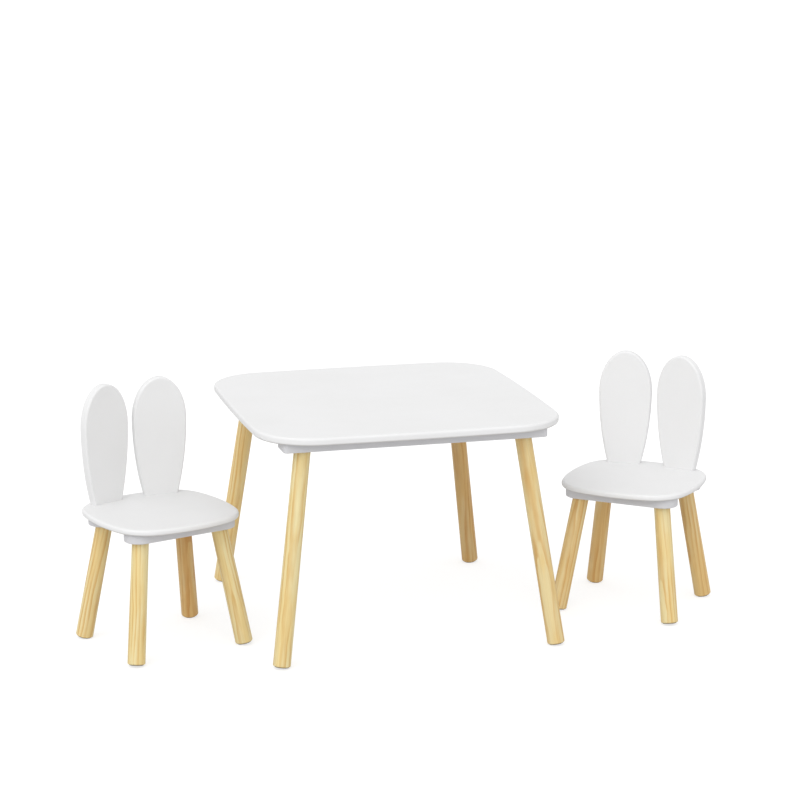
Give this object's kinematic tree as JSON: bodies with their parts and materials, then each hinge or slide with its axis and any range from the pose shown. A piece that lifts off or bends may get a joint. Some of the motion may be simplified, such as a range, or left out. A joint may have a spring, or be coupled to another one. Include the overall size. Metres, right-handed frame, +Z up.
{
  "type": "kids table and chairs",
  "caption": "Low square play table with rounded corners and rabbit-ear backed chairs for small children, in white painted board on splayed round pine legs.",
  "frame": {"origin": "on the floor, under the middle of the whole set's outline", "axes": "+X along the set's width, from the left chair to the right chair; -Y is the front, which the chairs face; +Z up"},
  "size_m": [1.2898, 0.6096, 0.4945],
  "materials": {
    "white_board": "fibreboard, satin white paint",
    "white_rail": "wood bar, satin white paint",
    "pine": "pine, clear matt lacquer, straight grain",
    "zinc_steel": "bright zinc plate",
    "felt": "pressed felt"
  },
  "bodies": {
    "table": {"table_foot_pads": "felt", "table_hanger_bolts": "zinc_steel", "table_leg_front_left": "pine", "table_leg_front_right": "pine", "table_leg_inserts": "zinc_steel", "table_leg_rear_left": "pine", "table_leg_rear_right": "pine", "table_rail_front": "white_rail", "table_rail_rear": "white_rail", "table_rail_screws": "zinc_steel", "table_top": "white_board"},
    "chair_left": {"chair_left_ear_left": "white_board", "chair_left_ear_right": "white_board", "chair_left_ear_screws": "zinc_steel", "chair_left_foot_pads": "felt", "chair_left_hanger_bolts": "zinc_steel", "chair_left_leg_front_left": "pine", "chair_left_leg_front_right": "pine", "chair_left_leg_inserts": "zinc_steel", "chair_left_leg_rear_left": "pine", "chair_left_leg_rear_right": "pine", "chair_left_rail_front": "white_rail", "chair_left_rail_rear": "white_rail", "chair_left_rail_screws": "zinc_steel", "chair_left_seat": "white_board"},
    "chair_right": {"chair_right_ear_left": "white_board", "chair_right_ear_right": "white_board", "chair_right_ear_screws": "zinc_steel", "chair_right_foot_pads": "felt", "chair_right_hanger_bolts": "zinc_steel", "chair_right_leg_front_left": "pine", "chair_right_leg_front_right": "pine", "chair_right_leg_inserts": "zinc_steel", "chair_right_leg_rear_left": "pine", "chair_right_leg_rear_right": "pine", "chair_right_rail_front": "white_rail", "chair_right_rail_rear": "white_rail", "chair_right_rail_screws": "zinc_steel", "chair_right_seat": "white_board"}
  },
  "joints": [
    {"name": "chair_left_slide", "type": "slide", "parent": "table", "child": "chair_left", "axis": [-1, 0, 0], "range_m": [-0.06, 0.3]},
    {"name": "chair_right_slide", "type": "slide", "parent": "table", "child": "chair_right", "axis": [1, 0, 0], "range_m": [-0.14, 0.3]}
  ]
}
